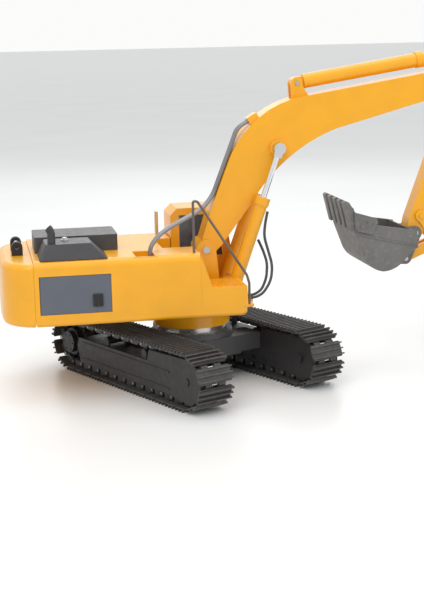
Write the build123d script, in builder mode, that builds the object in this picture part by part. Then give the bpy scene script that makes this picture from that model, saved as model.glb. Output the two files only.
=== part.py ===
"""A radio-controlled model of a tracked excavator, as an assembly of separate pieces.

Millimetres, +Z up. The origin is on the swing axis, at the flat underside of the belly plate.
+X is the way the house faces and +Y is its left. The tracks point house_yaw to the right of it.
"""
from math import atan2, cos, degrees, hypot, pi, radians, sin, sqrt
import os

from build123d import *

os.makedirs("parts", exist_ok=True)

# ---------------------------------------------------------------- driving dimensions
# undercarriage
track_gauge = 152.0          # centre line to centre line of the two tracks
wheelbase = 240.0            # sprocket axle to idler axle
straight_links = 13          # links in each straight run
wheel_links = 8              # links that would close a full turn round a wheel
pad_width = 44.0
pad_gap = 1.2                # between neighbouring pads
pin_line_height = 7.9        # chain pins above the ground on the lower run
pad_thickness = 1.5
grouser_height = 2.7
grouser_width = 1.5
rail_height = 3.1            # knuckle radius, and rail above and below the pin line
rail_inner = 4.3             # half gap between the two rails of a chain
rail_step = 3.7              # width of one knuckle
chain_pin_radius = 1.3
belly_height = 29.0          # belly plate above the ground
house_yaw = 64.0
frame_plate = 2.0            # side plates of the track frames
frame_plate_inner = 13.0     # from the track's centre line
guard_thickness = 2.0
roller_count = 6
roller_spacing = 22.6
roller_radius = 6.0
carrier_spacing = 76.0
carrier_radius = 4.6
stub_radius = 2.0
idler_stub = 4.0
sprocket_teeth = 16
hub_radius = 12.5
drive_radius = 16.5
drive_length = 26.0
wheel_room = 28.0            # from a wheel's axle to the end of the beam beside it

# swing bearing
chassis_top = 56.0           # above the ground
ring_top = 63.3
ring_outer = 39.0
ring_teeth = 48
ring_root = 31.0
pinion_teeth = 12
pinion_tip = 7.6
turntable_radius = 43.4
turntable_bottom = 63.6
kingpost_radius = 8.0

# house
house_width = 168.0
floor_bottom = 84.5
floor_top = 95.0
deck_height = 154.4
house_front = 49.0
tail = -211.5
weight_joint = -178.6        # where the counterweight meets the body
door_joint = -98.1
side_front = -1.9            # front edge of the right-hand body side
wall = 2.2
deck_round = 9.0
slot_half_width = 33.0       # boom slot between the body sides
toolbox_top = 117.0

# cab
cab_rear = -16.0
cab_front = 56.0
cab_roof = 188.0
cab_inner_side = 34.0
cab_wall = 2.0
pane = 1.2

# arm: (x, z above the ground) of the pins and lengths along the pieces
boom_foot_xz = (15.7, 147.3)
boom_length = 361.8
boom_heading = 30.6
boom_half_width = 15.0
boom_plate = 2.4
stick_length = 190.0
stick_heading = 69.5
stick_half_width = 11.4
boom_ram_foot_xz = (45.0, 104.0)
boom_ram_pin = (128.0, 52.0)      # along and above the line from the boom's foot to its tip
boom_ram_y = 23.8
stick_ram_foot = (185.0, 100.0)
stick_ram_pin = (225.0, -8.0)     # along and inside the line from bucket pin to boom tip
bucket_ram_foot = (172.0, -33.0)
rocker_along = 21.0
rocker_length = 39.0
link_length = 45.0
bucket_link_pin = (-11.0, -29.0)  # from the bucket pin
bucket_width = 89.0
bucket_wall = 2.2
tooth_count = 5
tooth_width = 11.0

# fits and clearances
running = 0.05               # radial, shaft in hole
side_gap = 0.4               # between faces that slide past each other
air = 0.3                    # between curved faces of different bodies

# ---------------------------------------------------------------- frames and helpers
link_pitch = wheelbase / straight_links
half_turn_step = 360.0 / wheel_links
pin_circle = link_pitch / (2 * sin(radians(half_turn_step / 2)))
axle_height = pin_circle + pin_line_height
rail_face = pin_circle * cos(radians(half_turn_step / 2)) - rail_height
rail_outer = rail_inner + 2 * rail_step + air
track_v = track_gauge / 2
frame_outer = frame_plate_inner + frame_plate
half_house = house_width / 2

forward = Vector(cos(radians(house_yaw)), -sin(radians(house_yaw)), 0)
leftward = Vector(sin(radians(house_yaw)), cos(radians(house_yaw)), 0)
keel = Plane(origin=(0, 0, 0), x_dir=forward, z_dir=leftward)


def up(height):
    """Height above the ground, as a coordinate."""
    return height - belly_height


def level(height):
    """Horizontal plane in the house's frame."""
    return Plane.XY.offset(up(height))


def track_level(height, v=0.0):
    """Horizontal plane in the undercarriage's frame: local x forward, local y left."""
    return Plane(origin=leftward * v + Vector(0, 0, up(height)), x_dir=forward, z_dir=(0, 0, 1))


def track_side(v):
    """Side-view plane of the undercarriage: local x forward, local y height above the ground."""
    return Plane(origin=leftward * v + Vector(0, 0, up(0)), x_dir=forward, z_dir=leftward * -1)


def side(y=0.0):
    """Side-view plane of the house: local x forward, local y height above the ground."""
    return Plane(origin=(0, y, up(0)), x_dir=(1, 0, 0), z_dir=(0, -1, 0))


def arm_plane(pin, heading=0.0, y=0.0):
    """Side-view plane with its origin on a pin (x, z) and local x along heading."""
    turn = radians(heading)
    return Plane(origin=(pin[0], y, up(pin[1])), x_dir=(cos(turn), 0, sin(turn)), z_dir=(0, -1, 0))


def along(pin, heading, point):
    """(x, z) of a point given along and square to a line that starts at pin."""
    c, s = cos(radians(heading)), sin(radians(heading))
    return (pin[0] + point[0] * c - point[1] * s, pin[1] + point[0] * s + point[1] * c)


def heading_of(start, end):
    return degrees(atan2(end[1] - start[1], end[0] - start[0]))


def distance(start, end):
    return hypot(end[0] - start[0], end[1] - start[1])


def meet(start, start_length, end, end_length):
    """Where two links of these lengths from start and end meet, left of the way from start to end."""
    span = distance(start, end)
    reach = (start_length**2 - end_length**2 + span**2) / (2 * span)
    rise = sqrt(start_length**2 - reach**2)
    return along(start, heading_of(start, end), (reach, rise))


def finish(part, name):
    part.label = name
    export_step(part, f"parts/{name}.step")


def finish_pair(part, name):
    """Writes a left-hand piece and its mirror image on the other track."""
    finish(part, f"{name}_left")
    with BuildPart() as other:
        mirror(part, about=keel)
    finish(other.part, f"{name}_right")


# ---------------------------------------------------------------- arm geometry
boom_foot = boom_foot_xz
boom_tip = along(boom_foot, boom_heading, (boom_length, 0))
bucket_pin = along(boom_tip, stick_heading, (-stick_length, 0))
boom_ram_foot = boom_ram_foot_xz
boom_ram_eye = along(boom_foot, boom_heading, boom_ram_pin)
stick_ram_base = along(boom_foot, boom_heading, stick_ram_foot)
stick_ram_eye = along(bucket_pin, stick_heading, stick_ram_pin)
rocker_pin = along(bucket_pin, stick_heading, (rocker_along, 0))
bucket_ear_pin = (bucket_pin[0] + bucket_link_pin[0], bucket_pin[1] + bucket_link_pin[1])
link_pin = meet(rocker_pin, rocker_length, bucket_ear_pin, link_length)
bucket_ram_base = along(bucket_pin, stick_heading, bucket_ram_foot)


# ---------------------------------------------------------------- track chain
def chain_planes(v):
    """One plane per link, going once round the loop: local x along the link, local z inwards."""
    planes = []
    half = wheelbase / 2
    for run in (-1, 1):                      # lower run, then upper run
        for i in range(straight_links):
            u = run * (half - link_pitch * (i + 0.5))
            centre = forward * u + leftward * v + Vector(0, 0, up(axle_height + run * pin_circle))
            planes.append(Plane(origin=centre, x_dir=forward * -run, z_dir=(0, 0, -run)))
    chord_radius = pin_circle * cos(radians(half_turn_step / 2))
    for end in (-1, 1):                      # round the sprocket, then round the idler
        for i in range(wheel_links // 2):
            turn = radians(-90 + half_turn_step * (i + 0.5))
            outwards = forward * (end * cos(turn)) + Vector(0, 0, sin(turn))
            centre = forward * (end * half) + leftward * v + Vector(0, 0, up(axle_height))
            centre += outwards * chord_radius
            planes.append(Plane(origin=centre, x_dir=leftward.cross(outwards * -1), z_dir=outwards * -1))
    return planes


pad_top = -rail_height - 0.6
pad_bottom = pad_top - pad_thickness
pad_length = link_pitch - pad_gap
grouser_bottom = -pin_line_height
pin_hole_radius = chain_pin_radius + running
outer_rail = rail_inner + rail_step + air

with BuildPart() as link:
    with BuildSketch(Plane.XY.offset(pad_bottom)):
        Rectangle(pad_length, pad_width - 2)
        chamfer(vertices(), 1.6)
    extrude(amount=pad_thickness)
    for step in (-1, 0, 1):
        with BuildSketch(Plane.XY.offset(grouser_bottom)):
            with Locations((step * link_pitch / 3, 0)):
                Rectangle(grouser_width, pad_width)
        extrude(amount=pad_bottom - grouser_bottom)
    for hand in (-1, 1):
        for near, way in ((rail_inner, -1), (outer_rail, 1)):
            with BuildSketch(Plane.XZ.offset(-hand * near)):
                with Locations((way * link_pitch / 2, 0)):
                    Circle(rail_height)
                with Locations((way * link_pitch / 4, 0)):
                    Rectangle(link_pitch / 2, 2 * rail_height)
            extrude(amount=-hand * rail_step)
        with BuildSketch(Plane.XZ.offset(-hand * rail_inner)):
            with Locations((0, (pad_top + rail_height) / 2)):
                Rectangle(link_pitch - 4 * rail_height, rail_height - pad_top)
        extrude(amount=-hand * (rail_outer - rail_inner))
    with BuildSketch(Plane.XZ):
        with Locations((-link_pitch / 2, 0), (link_pitch / 2, 0)):
            Circle(pin_hole_radius)
    extrude(amount=pad_width, both=True, mode=Mode.SUBTRACT)

with BuildPart() as chain_pin:
    with BuildSketch(Plane.XZ):
        with Locations((-link_pitch / 2, 0)):
            Circle(chain_pin_radius)
    extrude(amount=rail_outer, both=True)

pins = []
for name, v in (("left", track_v), ("right", -track_v)):
    places = [plane.location for plane in chain_planes(v)]
    loop = Compound([place * link.part.solid() for place in places])
    finish(loop, f"track_links_{name}")
    pins += [place * chain_pin.part.solid() for place in places]
finish(Compound(pins), "track_pins")

# ---------------------------------------------------------------- track frames and wheels
half_base = wheelbase / 2
lower_rail_top = pin_line_height + rail_height
upper_rail_bottom = axle_height + pin_circle - rail_height
roller_height = lower_rail_top + air + roller_radius
carrier_height = upper_rail_bottom - air - carrier_radius
roller_width = rail_outer + 0.4
roller_us = [roller_spacing * (i - (roller_count - 1) / 2) for i in range(roller_count)]
carrier_us = [-carrier_spacing / 2, carrier_spacing / 2]
beam_bottom = roller_height + roller_radius + 1.4
beam_top = carrier_height - carrier_radius - 1.6
plate_bottom = roller_height - 4.8
plate_rear = -half_base + wheel_room
plate_front = half_base - wheel_room
yoke_radius = 9.5
cheek_radius = 24.0          # rounded plates beside the idler
cheek_rear = carrier_us[1] + carrier_radius + 4.0
cheek_rise = axle_height + cheek_radius - 2.0
idler_cheek = [
    (cheek_rear, beam_top - 2),
    (cheek_rear + 4, cheek_rise),
    (half_base, axle_height + cheek_radius),
    (half_base, axle_height - cheek_radius),
    (half_base - 10, axle_height - cheek_radius + 2),
    (plate_front - 10, plate_bottom),
]


def flank(inner, thickness, v=track_v, hands=(-1, 1)):
    """Sketch plane and extrusion for a plate on each side of a track's centre line."""
    return [(track_side(v + hand * inner), -hand * thickness) for hand in hands]


with BuildPart() as track_frame:
    with BuildSketch(track_side(track_v)):
        with Locations(((plate_rear + plate_front) / 2, (beam_bottom + beam_top) / 2)):
            Rectangle(plate_front - plate_rear, beam_top - beam_bottom)
    extrude(amount=frame_plate_inner, both=True)
    for plane, thickness in flank(frame_plate_inner, frame_plate):
        with BuildSketch(plane):
            with Locations(((plate_rear + plate_front) / 2, (plate_bottom + beam_top) / 2)):
                Rectangle(plate_front - plate_rear, beam_top - plate_bottom)
            chamfer(vertices().group_by(Axis.Z)[0], 6)
            with Locations(((plate_front + half_base) / 2, axle_height)):
                Rectangle(half_base - plate_front + 2 * frame_plate, 2 * yoke_radius)
            with Locations((half_base, axle_height)):
                Circle(cheek_radius)
            Polygon(*[(u, z) for u, z in idler_cheek], align=None)
            for u in carrier_us:
                with Locations((u, (beam_top + carrier_height) / 2)):
                    Rectangle(2 * carrier_radius, carrier_height - beam_top + 2)
                with Locations((u, carrier_height)):
                    Circle(carrier_radius - 0.6)
        extrude(amount=thickness)
    for plane, thickness in flank(frame_plate_inner, frame_plate, hands=(-1,)):
        with BuildSketch(plane):
            with Locations(((plate_rear - half_base) / 2, axle_height)):
                Rectangle(plate_rear + half_base + 2 * frame_plate, 2 * yoke_radius)
            with Locations((-half_base, axle_height)):
                Circle(drive_radius)
        extrude(amount=thickness)
    with BuildSketch(track_side(track_v)):
        with Locations(*[(u, roller_height) for u in roller_us]):
            Circle(stub_radius + running)
        with Locations(*[(u, carrier_height) for u in carrier_us]):
            Circle(stub_radius + running)
        with Locations((half_base, axle_height), (-half_base, axle_height)):
            Circle(idler_stub + running)
    extrude(amount=frame_outer, both=True, mode=Mode.SUBTRACT)
finish_pair(track_frame.part, "track_frame")

guard_inner = frame_outer
guard_bottom = plate_bottom
guard_top = beam_top
with BuildPart() as track_guard:
    with BuildSketch(track_side(track_v + guard_inner)):
        with BuildLine():
            Polyline(
                (plate_rear - 3, guard_top),
                (plate_rear - 7, axle_height),
                (plate_rear, guard_bottom),
                (plate_front - 4, guard_bottom),
                (half_base - 10, axle_height - cheek_radius + 2),
                (half_base, axle_height - cheek_radius),
            )
            ThreePointArc(
                (half_base, axle_height - cheek_radius),
                (half_base + cheek_radius, axle_height),
                (half_base, axle_height + cheek_radius),
            )
            Polyline(
                (half_base, axle_height + cheek_radius),
                (cheek_rear + 4, cheek_rise),
                (cheek_rear, guard_top),
                (plate_rear - 3, guard_top),
            )
        make_face()
        with Locations((half_base, axle_height)):
            Circle(idler_stub + running, mode=Mode.SUBTRACT)
        with Locations(*[(u, roller_height) for u in roller_us]):
            Circle(stub_radius + running, mode=Mode.SUBTRACT)
    extrude(amount=-guard_thickness)
    for low, high in ((guard_bottom + 5.0, guard_bottom + 7.0), (guard_top - 6.0, guard_top - 4.0)):
        with BuildSketch(track_side(track_v + guard_inner + guard_thickness)):
            with Locations(((plate_rear + plate_front) / 2, (low + high) / 2)):
                Rectangle(plate_front - plate_rear - 8, high - low)
        extrude(amount=-0.8)
finish_pair(track_guard.part, "track_guard")

with BuildPart() as bottom_rollers:
    with BuildSketch(track_side(track_v)):
        with Locations(*[(u, roller_height) for u in roller_us]):
            Circle(roller_radius)
    extrude(amount=roller_width, both=True)
    with BuildSketch(track_side(track_v)):
        with Locations(*[(u, roller_height) for u in roller_us]):
            Circle(stub_radius)
    extrude(amount=guard_inner + guard_thickness, both=True)
    mirror(about=keel)
finish(bottom_rollers.part, "bottom_rollers")

for number, u in enumerate(carrier_us):
    with BuildPart() as carrier:
        with BuildSketch(track_side(track_v)):
            with Locations((u, carrier_height)):
                Circle(carrier_radius)
        extrude(amount=roller_width, both=True)
        with BuildSketch(track_side(track_v)):
            with Locations((u, carrier_height)):
                Circle(stub_radius)
        extrude(amount=frame_outer, both=True)
    finish_pair(carrier.part, ("carrier_roller_rear", "carrier_roller_front")[number])

idler_radius = rail_face - air
flange_radius = pin_circle - chain_pin_radius - air
flange_half_width = rail_inner - 0.8
with BuildPart() as idler:
    with BuildSketch(track_side(track_v)):
        with Locations((half_base, axle_height)):
            Circle(idler_radius)
            Circle(idler_radius - 3, mode=Mode.SUBTRACT)
    extrude(amount=rail_outer, both=True)
    with BuildSketch(track_side(track_v)):
        with Locations((half_base, axle_height)):
            Circle(flange_radius)
    extrude(amount=flange_half_width, both=True)
    with BuildSketch(track_side(track_v)):
        with Locations((half_base, axle_height)):
            Circle(idler_stub + 3)
    extrude(amount=rail_outer, both=True)
    with BuildSketch(track_side(track_v)):
        with Locations((half_base, axle_height)):
            Circle(idler_stub)
    extrude(amount=guard_inner + guard_thickness + 1.2, both=True)
finish_pair(idler.part, "idler")

tooth_root = flange_radius - 3.4
sprocket_inner = rail_outer - 1.0
with BuildPart() as sprocket:
    with BuildSketch(track_side(track_v)):
        with Locations((-half_base, axle_height)):
            Circle(tooth_root)
            with PolarLocations(0, sprocket_teeth):
                with Locations((tooth_root, 0)):
                    Rectangle(2 * (flange_radius - tooth_root) - 0.4, 3.6)
    extrude(amount=flange_half_width, both=True)
    with BuildSketch(track_side(track_v)):
        with Locations((-half_base, axle_height)):
            Circle(idler_radius - 3)
    extrude(amount=sprocket_inner, both=True)
    with BuildSketch(track_side(track_v)):
        with Locations((-half_base, axle_height)):
            Circle(hub_radius)
    extrude(amount=-(guard_inner + guard_thickness))
    with BuildSketch(track_side(track_v + guard_inner + guard_thickness)):
        with Locations((-half_base, axle_height)):
            with PolarLocations(hub_radius - 3, 6):
                Circle(1.1)
    extrude(amount=1.5, mode=Mode.SUBTRACT)
    with BuildSketch(track_side(track_v)):
        with Locations((-half_base, axle_height)):
            Circle(idler_stub)
    extrude(amount=frame_outer + drive_length / 2)
finish_pair(sprocket.part, "sprocket")

with BuildPart() as final_drives:
    with BuildSketch(track_side(track_v - frame_outer)):
        with Locations((-half_base, axle_height)):
            Circle(drive_radius)
    extrude(amount=drive_length * 0.4)
    with BuildSketch(track_side(track_v - frame_outer)):
        with Locations((-half_base, axle_height)):
            Circle(drive_radius * 0.72)
    extrude(amount=drive_length)
    with BuildSketch(track_side(track_v - frame_outer)):
        with Locations((-half_base, axle_height)):
            Circle(idler_stub + running)
    extrude(amount=drive_length / 2 + 1, mode=Mode.SUBTRACT)
    mirror(about=keel)
finish(final_drives.part, "final_drives")

# ---------------------------------------------------------------- chassis and swing bearing
frame_reach = track_v - frame_outer
leg_bottom = belly_height + 2.0
leg_top = 50.0
leg_width = 30.0
leg_spread = 33.0            # leg centres at the tracks, from the swing axis
belly_thickness = 2.0
hub_plate_radius = 47.0
with BuildPart() as centre_frame:
    with BuildSketch(track_level(leg_bottom)):
        Circle(hub_plate_radius)
        for way in (-1, 1):
            with Locations((way * leg_spread, 0)):
                Rectangle(leg_width, 2 * frame_reach)
    extrude(amount=leg_top - leg_bottom)
    with BuildSketch(track_level(leg_top)):
        Circle(hub_plate_radius)
    extrude(amount=chassis_top - leg_top, taper=12)
    with BuildSketch(track_level(leg_bottom)):
        Circle(kingpost_radius)
    extrude(amount=floor_top - 2 - leg_bottom)
finish(centre_frame.part, "centre_frame")

with BuildPart() as belly_plate:
    with BuildSketch(track_level(belly_height)):
        Rectangle(2 * leg_spread + leg_width, 2 * frame_reach - 30)
        chamfer(vertices(), 12)
    extrude(amount=belly_thickness)
finish(belly_plate.part, "belly_plate")

with BuildPart() as slew_ring:
    with BuildSketch(level(chassis_top)):
        Circle(ring_outer)
        Circle(ring_root, mode=Mode.SUBTRACT)
        with PolarLocations(0, ring_teeth):
            with Locations((ring_root, 0)):
                Rectangle(2.2, 1.9)
    extrude(amount=ring_top - chassis_top)
finish(slew_ring.part, "slew_ring")

ring_tip = ring_root - 1.1
pinion_offset = ring_tip - pinion_tip - air
pinion_x = pinion_offset * cos(radians(150))
pinion_y = pinion_offset * sin(radians(150))
pinion_shaft = 2.5
pinion_bottom = chassis_top + air
with BuildPart() as swing_pinion:
    with BuildSketch(level(pinion_bottom)):
        with Locations((pinion_x, pinion_y)):
            Circle(pinion_tip - 1.8)
            with PolarLocations(0, pinion_teeth):
                with Locations((pinion_tip - 1.8, 0)):
                    Rectangle(3.2, 1.6)
    extrude(amount=ring_top - pinion_bottom)
    with BuildSketch(level(pinion_bottom)):
        with Locations((pinion_x, pinion_y)):
            Circle(pinion_shaft)
    extrude(amount=floor_top + 8 - pinion_bottom)
finish(swing_pinion.part, "swing_pinion")

with BuildPart() as turntable:
    with BuildSketch(level(turntable_bottom)):
        Circle(turntable_radius)
    extrude(amount=floor_bottom - turntable_bottom, taper=-8)
    with BuildSketch(level(turntable_bottom)):
        Circle(kingpost_radius + running)
        with Locations((pinion_x, pinion_y)):
            Circle(pinion_shaft + running)
    extrude(amount=floor_bottom - turntable_bottom, mode=Mode.SUBTRACT)
finish(turntable.part, "turntable")

# ---------------------------------------------------------------- house floor
floor_wall = 3.0
floor_corner = 8.0
foot_bracket = 4.0
foot_inner = boom_half_width + side_gap
boom_pin_radius = 4.0
ram_pin_radius = 2.5
ram_eye_width = 9.0
ram_eye_radius = 6.5
tab_length = 8.0
tab_width = 14.0
floor_length = house_front - weight_joint
floor_centre = (house_front + weight_joint) / 2
foot_x, foot_z = boom_foot
ram_x, ram_z = boom_ram_foot
ram_lug = 2.4
with BuildPart() as house_floor:
    with BuildSketch(level(floor_bottom)):
        with Locations((floor_centre, 0)):
            Rectangle(floor_length, house_width)
        fillet(vertices().group_by(Axis.X)[-1], floor_corner)
    extrude(amount=floor_top - floor_bottom)
    fillet(edges().group_by(Axis.Z)[0], 4)
    with BuildSketch(level(floor_bottom + floor_wall)):
        with Locations((floor_centre, 0)):
            Rectangle(floor_length - 2 * floor_wall, house_width - 2 * floor_wall)
        fillet(vertices().group_by(Axis.X)[-1], floor_corner - floor_wall)
    extrude(amount=floor_top - floor_bottom, mode=Mode.SUBTRACT)
    with BuildSketch(level(floor_bottom)):
        with Locations(((foot_x + ram_x) / 2, 0)):
            Rectangle(ram_x - foot_x + 40, 2 * slot_half_width - 2)
        Circle(turntable_radius - 6)
    extrude(amount=floor_top - floor_bottom)
    for hand in (-1, 1):
        with BuildSketch(side(hand * foot_inner)):
            with BuildLine():
                Polyline(
                    (foot_x - 14, floor_top - 1),
                    (foot_x - 11, foot_z),
                    (foot_x + 11, foot_z),
                    (foot_x + 16, floor_top - 1),
                    close=True,
                )
            make_face()
            with Locations((foot_x, foot_z)):
                Circle(11)
        extrude(amount=-hand * foot_bracket)
        for near in (-ram_eye_width / 2 - air - ram_lug, ram_eye_width / 2 + air):
            with BuildSketch(side(hand * (boom_ram_y + near))):
                with Locations((ram_x, (ram_z + floor_top - 1) / 2)):
                    Rectangle(2 * ram_eye_radius, ram_z - floor_top + 1)
                with Locations((ram_x, ram_z)):
                    Circle(ram_eye_radius)
            extrude(amount=-hand * ram_lug if hand > 0 else ram_lug)
    with BuildSketch(side()):
        with Locations((foot_x, foot_z)):
            Circle(boom_pin_radius)
    extrude(amount=half_house, both=True, mode=Mode.SUBTRACT)
    with BuildSketch(side()):
        with Locations((ram_x, ram_z)):
            Circle(ram_pin_radius)
    extrude(amount=slot_half_width, both=True, mode=Mode.SUBTRACT)
    with BuildSketch(level(floor_bottom)):
        Circle(kingpost_radius + running)
        with Locations((pinion_x, pinion_y)):
            Circle(pinion_shaft + running)
    extrude(amount=floor_top - floor_bottom, mode=Mode.SUBTRACT)
    with BuildSketch(level(floor_top - 3)):
        with Locations((house_front + tab_length / 2 - 1, -half_house + floor_corner + tab_width / 2)):
            Rectangle(tab_length + 2, tab_width)
    extrude(amount=3)
finish(house_floor.part, "house_floor")

with BuildPart() as house_pins:
    with BuildSketch(side()):
        with Locations((foot_x, foot_z)):
            Circle(boom_pin_radius)
    extrude(amount=foot_inner + foot_bracket + 1.5, both=True)
    for hand in (-1, 1):
        with BuildSketch(side(hand * (boom_ram_y - ram_eye_width / 2 - ram_lug - 1))):
            with Locations((ram_x, ram_z)):
                Circle(ram_pin_radius)
        extrude(amount=-hand * (ram_eye_width + 2 * ram_lug + 2.5))
finish(house_pins.part, "house_pins")

# ---------------------------------------------------------------- body
slot_rear = -36.0
cab_side_front = cab_rear - 1.0
door_low = floor_top + 2.5
door_high = 138.5
door_rear = weight_joint + 5.0
door_gap = 0.4
door_stub = 1.0
door_lap = 2.0
pit_rear, pit_front = -71.0, -50.0
pit_outer, pit_inner = -78.0, -46.0
pit_depth = 9.0
with BuildPart() as body_shell:
    with BuildSketch(level(floor_top)):
        with BuildLine():
            Polyline(
                (weight_joint, -half_house),
                (side_front, -half_house),
                (side_front, -slot_half_width),
                (slot_rear, -slot_half_width),
                (slot_rear, slot_half_width),
                (cab_side_front, slot_half_width),
                (cab_side_front, half_house),
                (weight_joint, half_house),
                close=True,
            )
        make_face()
    extrude(amount=deck_height - floor_top)
    fillet(edges().filter_by(Axis.X).group_by(Axis.Z)[-1].sort_by(Axis.Y)[0], deck_round)
    fillet(edges().filter_by(Axis.X).group_by(Axis.Z)[-1].sort_by(Axis.Y)[-1], deck_round)
    with BuildSketch(level(floor_top)):
        with BuildLine():
            Polyline(
                (weight_joint + wall, -half_house + wall),
                (side_front - wall, -half_house + wall),
                (side_front - wall, -slot_half_width - wall),
                (slot_rear - wall, -slot_half_width - wall),
                (slot_rear - wall, slot_half_width + wall),
                (cab_side_front - wall, slot_half_width + wall),
                (cab_side_front - wall, half_house - wall),
                (weight_joint + wall, half_house - wall),
                close=True,
            )
        make_face()
    extrude(amount=deck_height - deck_round - floor_top, mode=Mode.SUBTRACT)
    with BuildSketch(level(deck_height - deck_round)):
        with Locations(((weight_joint + slot_rear) / 2, 0)):
            Rectangle(slot_rear - weight_joint - 2 * wall, house_width - 2 * deck_round)
    extrude(amount=deck_round - wall, mode=Mode.SUBTRACT)
    with BuildSketch(level(deck_height - pit_depth - wall)):
        with Locations(((pit_rear + pit_front) / 2, (pit_outer + pit_inner) / 2)):
            Rectangle(pit_front - pit_rear + 2 * wall, pit_inner - pit_outer + 2 * wall)
    extrude(amount=pit_depth + wall - 0.5)
    with BuildSketch(level(deck_height - pit_depth)):
        with Locations(((pit_rear + pit_front) / 2, (pit_outer + pit_inner) / 2)):
            Rectangle(pit_front - pit_rear, pit_inner - pit_outer)
    extrude(amount=pit_depth, mode=Mode.SUBTRACT)
    with BuildSketch(side(-half_house)):
        with Locations(((door_rear + door_joint) / 2, (door_low + door_high) / 2)):
            Rectangle(door_joint - door_rear, door_high - door_low)
    extrude(amount=-wall, mode=Mode.SUBTRACT)
    with BuildSketch(side(-half_house + wall)):
        with Locations(((door_rear + door_joint) / 2, (door_low + door_high) / 2)):
            Rectangle(door_joint - door_rear + 4, door_high - door_low + 4)
            Rectangle(door_joint - door_rear - 2 * door_lap, door_high - door_low - 2 * door_lap,
                      mode=Mode.SUBTRACT)
        with Locations((door_rear, (door_low + door_high) / 2)):
            Rectangle(10, door_high - door_low, mode=Mode.SUBTRACT)
    extrude(amount=-1.6)
    with BuildSketch(level(door_low - 2.2)):
        with Locations((door_rear + wall / 2 + door_gap, -half_house + wall / 2)):
            Circle(door_stub + running)
    extrude(amount=door_high - door_low + 4.4, mode=Mode.SUBTRACT)
finish(body_shell.part, "body_shell")

door_pivot_x = door_rear + wall / 2 + door_gap
door_pivot_y = -half_house + wall / 2
latch_x = -112.7
latch_z = 111.0
latch_shaft = 1.5
with BuildPart() as battery_door:
    with BuildSketch(side(-half_house)):
        with Locations(((door_pivot_x + door_joint - door_gap) / 2, (door_low + door_high) / 2)):
            Rectangle(door_joint - door_gap - door_pivot_x, door_high - door_low - 2 * door_gap)
    extrude(amount=-wall)
    with BuildSketch(level(door_low + door_gap)):
        with Locations((door_pivot_x, door_pivot_y)):
            Circle(wall / 2)
    extrude(amount=door_high - door_low - 2 * door_gap)
    with BuildSketch(level(door_low - 2.0)):
        with Locations((door_pivot_x, door_pivot_y)):
            Circle(door_stub)
    extrude(amount=door_high - door_low + 4.0)
    with BuildSketch(side(-half_house)):
        with Locations((latch_x, latch_z)):
            Circle(latch_shaft + running)
    extrude(amount=-wall, mode=Mode.SUBTRACT)
finish(battery_door.part, "battery_door")

latch_width, latch_height, latch_rise = 10.6, 13.4, 1.6
with BuildPart() as door_latch:
    with BuildSketch(side(-half_house - air)):
        with Locations((latch_x, latch_z)):
            RectangleRounded(latch_width, latch_height, 1.2)
    extrude(amount=latch_rise)
    with BuildSketch(side(-half_house - air - latch_rise)):
        with Locations((latch_x, latch_z)):
            RectangleRounded(latch_width - 3, latch_height - 3, 0.8)
            Rectangle(1.8, latch_height, mode=Mode.SUBTRACT)
    extrude(amount=-0.9, mode=Mode.SUBTRACT)
    with BuildSketch(side(-half_house - air)):
        with Locations((latch_x, latch_z)):
            Circle(latch_shaft)
    extrude(amount=-(wall + 2 * air + 1.5))
    with BuildSketch(side(-half_house + wall + air)):
        with Locations((latch_x, latch_z)):
            RectangleRounded(9, 4, 1)
    extrude(amount=-1.5)
finish(door_latch.part, "door_latch")

# ---------------------------------------------------------------- counterweight
weight_round = 26.0
weight_top = 152.0
with BuildPart() as counterweight:
    with BuildSketch(level(floor_bottom)):
        with BuildLine():
            Polyline(
                (weight_joint - 0.2, half_house),
                (weight_joint - 0.2, -half_house),
                (weight_joint - 4, -half_house),
            )
            ThreePointArc(
                (weight_joint - 4, -half_house),
                (tail + 9.5, -half_house + 13),
                (tail, -half_house + 40),
            )
            ThreePointArc((tail, -half_house + 40), (tail - 1.5, 0), (tail, half_house - 40))
            ThreePointArc(
                (tail, half_house - 40),
                (tail + 9.5, half_house - 13),
                (weight_joint - 4, half_house),
            )
            Line((weight_joint - 4, half_house), (weight_joint - 0.2, half_house))
        make_face()
    extrude(amount=weight_top - floor_bottom)
    fillet(edges().group_by(Axis.Z)[-1].filter_by(lambda e: e.center().X < weight_joint - 1), 7)
    fillet(edges().group_by(Axis.Z)[0].filter_by(lambda e: e.center().X < weight_joint - 1), 5)
finish(counterweight.part, "counterweight")

lug_y = 18.0
lug_x = tail + 19.0
lug_width, lug_height, lug_thickness = 12.0, 15.0, 7.0
with BuildPart() as lifting_lugs:
    for hand in (-1, 1):
        with BuildSketch(side(hand * lug_y)):
            with Locations((lug_x, weight_top + lug_height / 2 - lug_width / 4)):
                Rectangle(lug_width, lug_height - lug_width / 2)
            with Locations((lug_x, weight_top + lug_height - lug_width / 2)):
                Circle(lug_width / 2)
        extrude(amount=lug_thickness / 2, both=True)
        with BuildSketch(side(hand * lug_y)):
            with Locations((lug_x, weight_top + lug_height - lug_width / 2)):
                Circle(2.2)
        extrude(amount=lug_thickness, both=True, mode=Mode.SUBTRACT)
finish(lifting_lugs.part, "lifting_lugs")

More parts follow.
